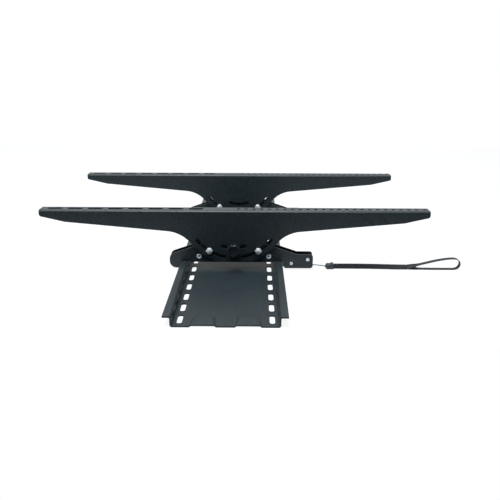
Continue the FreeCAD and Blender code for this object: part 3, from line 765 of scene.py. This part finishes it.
@dataclass
class WallPlate:
    """The folded rail plate that is screwed to the wall."""

    node: str = "wall_plate"
    edge: float = 0.75 * MM
    rib_floor: float = 3 * MM
    rib_reach: float = 35 * MM
    rib_zone: float = 60 * MM
    rib_ramp: float = 9 * MM

    def build(self) -> None:
        """Dresses the plate."""
        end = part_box(self.node)[1].y
        soften(
            self.node, POWDER_COAT, "powder_coated_steel", self.edge, lambda place: self.ease_rib(place, end)
        )

    def ease_rib(self, place: Vector, end: float) -> Vector:
        """Draws a rib's top towards the plate's end, so that its inner end rises in a gentle ramp.

        Args:
            place: A point of the plate.
            end: How far the plate reaches from its middle.

        Returns:
            Where it goes: only the tops of the ribs move.
        """
        if place.z < self.rib_floor or abs(place.x) > self.rib_zone:
            return place
        depth = end - abs(place.y)
        shift = self.rib_ramp * min(depth / self.rib_reach, 1.0)
        return place + Vector((0, math.copysign(shift, place.y), 0))


@dataclass
class TiltArm:
    """One television arm with its tilt bolts and nuts."""

    side: Side
    bolt_reach: float = 40.54 * MM
    flats: float = 10 * MM
    head: float = 4 * MM
    dome: float = 1.8 * MM
    shank: float = 6 * MM
    pitch: float = 1 * MM
    thread_depth: float = 0.55 * MM
    thread_rings: int = 58
    rings_per_turn: int = 8
    crown: float = 4.7 * MM
    washer_face: float = 4.6 * MM
    washer_lift: float = 0.35 * MM
    insert: float = 1.2 * MM
    collar: float = 4.2 * MM

    def build(self) -> None:
        """Dresses the arm and makes its fasteners."""
        soften(self.side.node("arm"), POWDER_COAT, "powder_coated_steel")
        self.make_bolts()
        self.make_nuts()

    def make_bolts(self) -> None:
        """Two hexagon bolts with chamfered heads and threaded tails."""
        node = self.side.node("tilt_bolts")
        low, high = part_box(node)
        length = high.y - low.y
        start = high.y if self.side is Side.LEFT else low.y
        surfaces = []
        for x in (-self.bolt_reach, self.bolt_reach):
            spindle = Spindle(x, start, (low.z + high.z) / 2, self.side.outward)
            surfaces.append(Surface(self.tail(spindle) + self.hex_head(spindle, length)))
        stand_in(skin(f"{node}_detail", surfaces), ZINC_PLATE, "zinc_plated_steel", node)

    def tail(self, spindle: Spindle) -> list[Ring]:
        """The threaded end of a bolt.

        Args:
            spindle: The bolt's axis, from its tail.

        Returns:
            Rings from the tail's end to the plain shank.
        """
        radius, root = self.shank / 2, self.shank / 2 - self.thread_depth
        rings = spindle.turned([(0, root - 0.4 * self.thread_depth), (0.1 * MM, root)])
        for i in range(2, self.thread_rings):
            along = i * self.pitch / self.rings_per_turn
            # The thread runs in over its first five rings and out over its last turn
            fade = min(1.0, (self.thread_rings - i) / self.rings_per_turn, i / 5)

            def groove(angle: float, along: float = along, fade: float = fade) -> float:
                """The thread's radius at one angle."""
                turn = (along / self.pitch - angle / (2 * math.pi)) % 1
                return radius - self.thread_depth * fade * abs(2 * turn - 1)

            rings.append(spindle.ring(along, groove))
        return rings

    def hex_head(self, spindle: Spindle, length: float) -> list[Ring]:
        """The head of a bolt, with a washer face, chamfered corners and a domed top.

        Args:
            spindle: The bolt's axis, from its tail.
            length: The bolt's whole length.

        Returns:
            Rings from the shank to the middle of the top.
        """
        seat, outline = length - self.head, hex_radius(self.flats)
        lifted = seat + self.washer_lift

        def shoulder(angle: float) -> float:
            """Where the chamfer meets the flats."""
            return length - self.dome - (outline(angle) - self.crown) * CHAMFER

        side = [
            (seat, self.shank / 2),
            (seat, self.washer_face),
            (lifted, self.washer_face),
            (lifted, outline),
            (shoulder, outline),
        ]
        shares = (0.97, 0.8, 0.62, 0.44, 0.26, 0.1)
        top = [(length - self.dome * share**2, share * self.crown) for share in shares]
        return spindle.turned(side + top)

    def make_nuts(self) -> None:
        """Two lock nuts with chamfered corners and a nylon collar."""
        node = self.side.node("tilt_nuts")
        low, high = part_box(node)
        seat = low.y if self.side is Side.LEFT else high.y
        height = high.y - low.y
        outline, bore = hex_radius(self.flats), self.shank / 2 + 0.02 * MM
        collar = height - self.insert

        def foot(angle: float) -> float:
            """Where the lower chamfer meets the flats."""
            return 0.05 * MM + (outline(angle) - self.crown) * CHAMFER

        def shoulder(angle: float) -> float:
            """Where the upper chamfer meets the flats."""
            return collar - (outline(angle) - self.crown) * CHAMFER

        profile = [
            (0.3 * MM, bore),
            (0, bore + 0.3 * MM),
            (0, self.crown),
            (foot, outline),
            (shoulder, outline),
            (collar, self.collar),
            (height - 0.4 * MM, self.collar - 0.1 * MM),
            (height, self.collar - 0.5 * MM),
            (height, bore + 0.2 * MM),
            (height - 0.2 * MM, bore),
        ]
        surfaces = []
        for x in (-self.bolt_reach, self.bolt_reach):
            spindle = Spindle(x, seat, (low.z + high.z) / 2, -self.side.outward)
            surfaces.append(Surface(spindle.turned(profile), Ends.LOOPED))
        stand_in(skin(f"{node}_detail", surfaces), ZINC_PLATE, "zinc_plated_steel", node)


@dataclass
class HookBracket:
    """The two hook plates inside one arm, with the rivets and washers that hold them."""

    side: Side
    rivet_reach: float = 58 * MM
    rivet_bore: float = 1.8 * MM
    rivet_head: float = 4.5 * MM
    rivet_shank: float = 3.1 * MM
    rivet_roll: float = 1.0 * MM
    plate: float = 2.5 * MM

    def build(self) -> None:
        """Dresses the plates and makes the rivets."""
        for name in ("hook_plate_outer", "hook_plate_inner"):
            soften(self.side.node(name), POWDER_COAT, "powder_coated_steel")
        for name in ("bolt_sleeves", "knob_bolt"):
            dress_node(self.side.node(name), ZINC_PLATE)
        dress_node(self.side.node("friction_washers"), WASHER)
        self.make_rivets()

    def make_rivets(self) -> None:
        """Two hollow rivets whose ends are rolled over the plates."""
        node = self.side.node("spacer_rivets")
        low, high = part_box(node)
        middle, half = (low + high) / 2, (high.y - low.y) / 2
        seat = half - self.rivet_roll
        end = [
            (half - 1.6 * MM, self.rivet_bore),
            (half - 0.5 * MM, self.rivet_bore + 0.05 * MM),
            (half - 0.15 * MM, self.rivet_bore + 0.2 * MM),
            (half, self.rivet_bore + 0.5 * MM),
            (half - 0.05 * MM, self.rivet_head - 1.0 * MM),
            (half - 0.3 * MM, self.rivet_head - 0.4 * MM),
            (half - 0.6 * MM, self.rivet_head - 0.1 * MM),
            (seat, self.rivet_head),
            (seat, self.rivet_shank),
            (seat - self.plate, self.rivet_shank),
            (seat - self.plate, self.rivet_head),
        ]
        surfaces = [
            Surface(Spindle(x, middle.y, middle.z, 1).turned(both_ends(end)), Ends.LOOPED)
            for x in (-self.rivet_reach, self.rivet_reach)
        ]
        stand_in(skin(f"{node}_detail", surfaces, sharp_degrees=50), RIVET_ZINC, "zinc_plated_steel", node)


@dataclass
class TiltKnob:
    """The fluted hand knob that clamps one arm's tilt."""

    side: Side
    radius: float = 10.75 * MM
    boss: float = 7 * MM
    boss_length: float = 5 * MM
    lobes: int = 8
    flute: float = 3 * MM
    flute_depth: float = 1.6 * MM
    shoulder: float = 2.2 * MM
    heel: float = 1.0 * MM
    steps: int = 16

    def build(self) -> None:
        """Makes the knob."""
        node = self.side.node("tilt_knob")
        low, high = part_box(node)
        length = high.y - low.y
        foot = high.y if self.side is Side.LEFT else low.y
        spindle = Spindle(0, foot, (low.z + high.z) / 2, self.side.outward)
        knob = skin(f"{node}_detail", [Surface(self.rings(spindle, length))], sharp_degrees=40)
        stand_in(knob, KNOB_NYLON, "moulded_knob", node)

    def rim(self, inset: float, share: float = 1.0) -> Outline:
        """The knob's fluted outline.

        Args:
            inset: How far the outline is drawn in.
            share: How much of the flutes' depth it keeps.

        Returns:
            The radius as a function of the angle.
        """
        centre = self.radius - self.flute_depth + self.flute
        pitch = 2 * math.pi / self.lobes

        def radius(angle: float) -> float:
            """The radius at one angle."""
            off = (angle + pitch / 2) % pitch - pitch / 2
            side = centre * math.sin(off)
            full = self.radius
            if abs(side) < self.flute:
                full = min(full, centre * math.cos(off) - math.sqrt(self.flute**2 - side**2))
            return self.radius - (self.radius - full) * share - inset

        return radius

    def rings(self, spindle: Spindle, length: float) -> list[Ring]:
        """Rings from the boss to the middle of the face."""
        waist, face = self.boss_length, self.radius - self.shoulder
        profile = [
            (0, self.boss - 0.4 * MM),
            (0.4 * MM, self.boss),
            (waist - 0.4 * MM, self.boss),
            (waist, self.boss + 0.4 * MM),
            (waist, self.rim(1.2 * MM)),
        ]
        for turn in (30, 60, 90):
            rise, draw = 1 - math.cos(math.radians(turn)), 1 - math.sin(math.radians(turn))
            profile.append((waist + self.heel * rise, self.rim(self.heel * draw)))
        # The flutes run out on the shoulder, so that the face is a plain round
        for turn in (0, 15, 30, 45, 60, 75, 90):
            fall, draw = 1 - math.sin(math.radians(turn)), 1 - math.cos(math.radians(turn))
            profile.append((length - self.shoulder * fall, self.rim(self.shoulder * draw, 1 - turn / 90)))
        profile += [
            (length, face - 0.6 * MM),
            (length - 0.25 * MM, face - 0.9 * MM),
            (length - 0.3 * MM, 0.8 * MM),
        ]
        return spindle.turned(profile, self.lobes * self.steps)


@dataclass
class SpringLock:
    """The sliding latch of one arm, with its pins, spring and seat."""

    side: Side
    spring_wire: float = 0.8 * MM
    open_turns: float = 6.0
    turn_steps: int = 28
    wire_steps: int = 10
    pin_dome: float = 0.75 * MM
    guide_dimple: float = 1.4 * MM
    seat_dimple: float = 0.2 * MM

    def build(self) -> None:
        """Dresses the latch and seat and makes the spring and pins."""
        dress_node(self.side.node("latch"), CAST_ZINC)
        dress_node(self.side.node("spring_seat"), SEAT_NYLON)
        self.make_spring()
        self.make_pin(self.side.node("guide_pin"), self.guide_dimple)
        self.make_pin(self.side.node("seat_pin"), self.seat_dimple)

    def make_spring(self) -> None:
        """A coil spring with closed ends, drawn at rest, though the latch presses it together when the lock
        is pulled.
        """
        node = self.side.node("latch_spring")
        low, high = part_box(node)
        centre, thread = (low + high) / 2, self.spring_wire / 2
        radius = (high.z - low.z) / 2 - thread
        length = high.x - low.x
        pitch = (length - 3 * self.spring_wire) / self.open_turns
        rings = []
        for i in range(round((self.open_turns + 2) * self.turn_steps) + 1):
            turn = i / self.turn_steps
            closed = min(turn, 1.0) + max(turn - self.open_turns - 1, 0.0)
            along = low.x + thread + self.spring_wire * closed + pitch * (turn - closed)
            angle = 2 * math.pi * turn
            outward = Vector((0, math.cos(angle), math.sin(angle)))
            middle = Vector((along, centre.y, centre.z)) + radius * outward
            rings.append(circle(middle, thread * outward, Vector((thread, 0, 0)), self.wire_steps))
        spring = skin(f"{node}_detail", [Surface(rings)], sharp_degrees=50)
        stand_in(spring, SPRING_STEEL, "spring_steel", node)
        pull = self.side.node("lock_pull")
        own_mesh(spring)

    def make_pin(self, node: str, dimple: float) -> None:
        """A rivet pin with peened, domed ends.

        Args:
            node: The CAD pin that it stands for.
            dimple: Depth of the peening tool's mark in the middle of each end.
        """
        low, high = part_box(node)
        middle, half = (low + high) / 2, (high.y - low.y) / 2
        radius = (high.x - low.x) / 2
        dome = self.pin_dome
        end = [
            (half - dimple, 0.1 * radius),
            (half - 0.8 * dimple, 0.34 * radius),
            (half - 0.1 * dimple, 0.42 * radius),
            (half, 0.52 * radius),
            (half - 0.2 * dome, 0.7 * radius),
            (half - 0.5 * dome, 0.86 * radius),
            (half - 0.8 * dome, 0.96 * radius),
            (half - dome, radius),
        ]
        spindle = Spindle(middle.x, middle.y, middle.z, 1)
        pin = skin(f"{node}_detail", [Surface(spindle.turned(both_ends(end)))], sharp_degrees=40)
        stand_in(pin, ZINC_PLATE, "zinc_plated_steel", node)


@dataclass
class PullCord:
    """The wire, clip and webbing loop that pull the near lock open."""

    middle: float = -150 * MM
    wire: float = 1.5 * MM
    strands: int = 6
    strand_share: float = 0.19
    strand_steps: int = 8
    lay: float = 9 * MM
    cord_width: float = 9 * MM
    webbing: float = 8.6 * MM
    sheet: float = 1.1 * MM
    layer_gap: float = 0.12 * MM
    split: float = 40
    flat_within: float = 25 * MM
    table_gap: float = 0.1 * MM
    clip_height: float = 9 * MM
    clip_half_width: float = 5.5 * MM
    clip_squareness: float = 0.4
    clip_steps: int = 40
    eye_radius: float = 1.6 * MM
    eye_thread: float = 0.6 * MM
    eye_width: float = 0.96 * MM
    eye_inset: float = 3.2 * MM
    eye_lift: float = 0.7 * MM
    eye_steps: int = 32
    bar_steps: int = 12
    line_steps: int = 20
    wire_route: Route = ((104, 8), (133, 8), (154, 4.6))
    strap_route: Route = ((166, 4.6), (208, 4.8), (250, 4.2), (290, 2.2))
    loop_route: Route = (
        (315, 0.8), (340, 0.6), (360, 0.7), (374.5, 0.6), (380.5, 6.4),
        (380.5, 14), (374.5, 19.5), (361, 19.3), (343, 16.4), (318, 10), (290, 2.9),
    )

    def build(self) -> None:
        wire_line = self.spline("pull_wire_line", self.wire_route)
        strap_line = self.spline("strap_line", (*self.strap_route, *self.loop_route))
        clip = self.make_clip()
        wire = self.make_wire(wire_line)
        strap = self.make_strap(strap_line)

    def spline(self, name: str, route: Route) -> list[Vector]:
        """Points along the smooth line of a route.

        Args:
            name: A name for the curve that is read and removed again.
            route: The route's corners as (x, z) in millimetres.

        Returns:
            The points, in metres.
        """
        curve = bpy.data.curves.new(name, "CURVE")
        curve.dimensions = "3D"
        curve.resolution_u = self.line_steps
        line = curve.splines.new("NURBS")
        line.points.add(len(route) - 1)
        for point, (x, z) in zip(line.points, route):
            point.co = (x * MM, self.middle, z * MM, 1)
        line.order_u = 3
        line.use_endpoint_u = True
        holder = bpy.data.objects.new(name, curve)
        mesh = bpy.data.meshes.new_from_object(holder)
        points = [vertex.co.copy() for vertex in mesh.vertices]
        bpy.data.objects.remove(holder)
        bpy.data.curves.remove(curve)
        bpy.data.meshes.remove(mesh)
        return points

    def make_wire(self, line: list[Vector]) -> Item:
        """A strand of steel wires twisted round the line.

        Args:
            line: The wire's centre line.

        Returns:
            The wire.
        """
        thread = self.wire * self.strand_share
        offset = self.wire / 2 - thread
        aside = Vector((0, 1, 0))
        surfaces = []
        for strand in range(self.strands):
            rings, walked = [], 0.0
            for i, point in enumerate(line):
                ahead = heading(line, i)
                above = aside.cross(ahead).normalized()
                walked += (point - line[i - 1]).length if i else 0.0
                turn = 2 * math.pi * (walked / self.lay + strand / self.strands)
                centre = point + offset * (math.cos(turn) * aside + math.sin(turn) * above)
                rings.append(circle(centre, thread * aside, thread * above, self.strand_steps))
            surfaces.append(Surface(rings))
        wire = skin("left_pull_wire_detail", surfaces, sharp_degrees=60)
        stand_in(wire, STRAND_STEEL, "twisted_wire", "left_pull_wire")
        return wire

    def make_clip(self) -> Item:
        """The moulded clip that joins wire and strap, with a small eye on its top.

        Returns:
            The clip.
        """
        low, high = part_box("left_strap_clamp")
        start, end, half = low.x, high.x, self.clip_height / 2
        fit = (high.y - low.y) / 2 / self.clip_half_width
        # Where each section lies, and its half width and half height in millimetres
        stations = [
            (start, 1.7, 1.7), (start + 0.5 * MM, 2.3, 2.2), (start + 1.4 * MM, 3.2, 3.0),
            (start + 2.2 * MM, 5.0, 4.2), (start + 3.0 * MM, 5.5, 4.5), (start + 6.4 * MM, 5.5, 4.5),
            (start + 6.6 * MM, 5.2, 4.2), (start + 7.2 * MM, 5.2, 4.2), (start + 7.4 * MM, 5.5, 4.5),
            (end - 0.9 * MM, 5.5, 4.5), (end - 0.25 * MM, 5.3, 4.4), (end, 4.8, 4.25),
            (end, 1.5, 4.2), (end - 1.6 * MM, 1.4, 4.15),
        ]
        section = [
            [math.copysign(abs(part) ** self.clip_squareness, part) for part in (point.x, point.y)]
            for point in circle(Vector(), Vector((1, 0, 0)), Vector((0, 1, 0)), self.clip_steps)
        ]
        body = [
            [Vector((x, self.middle + fit * wide * MM * y, half + tall * MM * z)) for y, z in section]
            for x, wide, tall in stations
        ]
        eye = Vector((end - self.eye_inset, self.middle, self.clip_height + self.eye_lift))
        loop = []
        for way in circle(Vector(), Vector((1, 0, 0)), Vector((0, 0, 1)), self.eye_steps):
            width = Vector((0, self.eye_width, 0))
            loop.append(circle(eye + self.eye_radius * way, self.eye_thread * way, width, self.bar_steps))
        surfaces = [Surface(body), Surface(loop, Ends.LOOPED)]
        clip = skin("left_strap_clamp_detail", surfaces, sharp_degrees=38)
        stand_in(clip, CLAMP_NYLON, "moulded_clamp", "left_strap_clamp")
        return clip

    def make_strap(self, line: list[Vector]) -> Item:
        """One band of webbing that runs out doubled, round the loop and back again.

        Args:
            line: The strap's centre line, from the clip round to the split.

        Returns:
            The strap.
        """
        walked = [0.0]
        for before, after in zip(line, line[1:]):
            walked.append(walked[-1] + (after - before).length)
        fork = min(range(len(line) // 2), key=lambda i: abs(line[i].x - self.strap_route[-1][0] * MM))
        total, forked = walked[-1], walked[fork]
        aside = Vector((0, 1, 0))
        layer = (self.sheet + self.layer_gap) / 2

        def station(i: int) -> tuple[Vector, Vector, Vector, float]:
            """The place, width and thickness directions, and share of the layers' offset at one point."""
            ahead = heading(line, i)
            above = ahead.cross(aside).normalized()
            above = -above if above.z < 0 else above
            at = walked[i]
            if at <= forked:
                roll = self.split * smooth(at / forked)
                apart = 1.0
            else:
                gone = min(at - forked, total - at) / self.flat_within
                roll = self.split + (90 - self.split) * smooth(gone)
                apart = 1 - smooth(gone * 3)
            swing = math.radians(roll)
            across = math.cos(swing) * above + math.sin(swing) * aside
            thick = math.cos(swing) * aside - math.sin(swing) * above
            return line[i], across, thick, apart

        rings, lengths = [], []
        for i in range(len(line)):
            place, across, thick, apart = station(i)
            sign = 1 if walked[i] < total / 2 else -1
            rings.append(self.band(place + sign * apart * layer * thick, across, thick))
            lengths.append(walked[i])
        for i in range(fork, -1, -1):
            place, across, thick, _ = station(i)
            rings.append(self.band(place - layer * thick, across, thick))
            lengths.append(total + forked - walked[i])
        strap = skin("left_strap_detail", [Surface(rings)], sharp_degrees=50)
        self.lay_weave(strap.data, lengths)
        stand_in(strap, WEBBING, "nylon_webbing", "left_strap")
        return strap

    @staticmethod
    def section() -> list[Pair]:
        """The webbing's section, in shares of half its width and thickness, with full selvedges."""
        shares = []
        for side in (1, -1):
            for share in (0.92, 0.6, 0.2, -0.2, -0.6, -0.92):
                shares.append((share * side, side * (1.0 if abs(share) > 0.9 else 0.86)))
            shares += [(-side, side * 0.45), (-side, -side * 0.45)]
        return shares

    def band(self, place: Vector, across: Vector, thick: Vector) -> Ring:
        """One section of the webbing, clear of the table.

        Args:
            place: The section's middle.
            across: The direction of its width.
            thick: The direction of its thickness.

        Returns:
            The section's points.
        """
        half, edge = self.webbing / 2, self.sheet / 2
        ring = [place + a * half * across + t * edge * thick for a, t in self.section()]
        lift = max(0.0, self.table_gap - min(point.z for point in ring))
        return [point + Vector((0, 0, lift)) for point in ring]

    def lay_weave(self, mesh: bpy.types.Mesh, lengths: list[float]) -> None:
        """Writes the weave's coordinates: metres along the band and across it.

        Args:
            mesh: The strap's mesh, with its points in ring order.
            lengths: How far along the band each ring lies.
        """
        weave = mesh.uv_layers.new(name="weave")
        offsets = [share * self.webbing / 2 for share, _ in self.section()]
        for loop in mesh.loops:
            row, column = divmod(loop.vertex_index, len(offsets))
            weave.data[loop.index].uv = (lengths[row], offsets[column])


def heading(line: Sequence[Vector], i: int) -> Vector:
    """The direction of a line of points at one of them."""
    return (line[min(i + 1, len(line) - 1)] - line[max(i - 1, 0)]).normalized()


def smooth(share: float) -> float:
    """A soft step from 0 to 1."""
    share = min(max(share, 0.0), 1.0)
    return share * share * (3 - 2 * share)


def main() -> None:
    """Builds the stage and the mount's sub-assemblies in order."""
    logging.basicConfig(level=logging.INFO, format="%(message)s")
    Studio().build()
    PullCord().build()
    WallPlate().build()
    for side in Side:
        TiltArm(side).build()
        HookBracket(side).build()
        TiltKnob(side).build()
        SpringLock(side).build()


if __name__ == "__main__":
    main()
